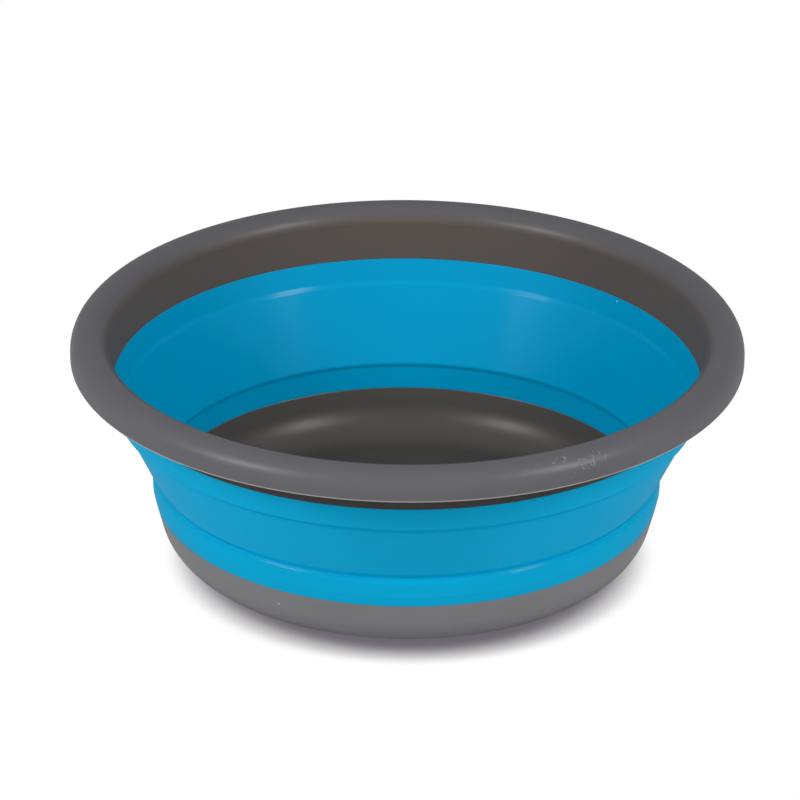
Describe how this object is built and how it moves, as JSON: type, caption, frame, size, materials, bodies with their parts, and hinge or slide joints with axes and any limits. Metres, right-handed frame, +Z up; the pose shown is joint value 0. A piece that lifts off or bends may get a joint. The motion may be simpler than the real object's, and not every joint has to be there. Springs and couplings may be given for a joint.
{
  "type": "washing up bowl",
  "caption": "Round folding washing up bowl: hard rolled rim and hard base dish joined by a rubbery wall that folds flat.",
  "frame": {"origin": "middle of the underside, on the surface that the bowl stands on", "axes": "+Z up along the bowl's axis of symmetry, +X and +Y level; the picture looks along +Y from above"},
  "size_m": [0.37, 0.37, 0.1312],
  "materials": {
    "base_plastic": "fine matt moulded grey",
    "wall_rubber": "silky moulded blue",
    "rim_plastic": "satin moulded grey"
  },
  "bodies": {
    "base": {"base_dish": "base_plastic", "lower_wall_band": "wall_rubber", "lower_fold": "wall_rubber"},
    "middle": {"middle_wall_band": "wall_rubber"},
    "rim": {"upper_fold": "wall_rubber", "upper_wall_band": "wall_rubber", "rim_collar": "rim_plastic", "rim_lip": "rim_plastic"}
  },
  "joints": [
    {"name": "rim_collapse", "type": "slide", "parent": "base", "child": "rim", "axis": [0, 0, -1], "range_m": [0, 0.0708], "deforming": ["lower_fold", "upper_fold"]},
    {"name": "middle_band_follow", "type": "slide", "parent": "base", "child": "middle", "axis": [0, 0, -1], "range_m": [0, 0.0354], "deforming": ["middle_wall_band"]}
  ],
  "couplings": [
    {"joint": "middle_band_follow", "follows": "rim_collapse", "ratio": 0.5}
  ]
}
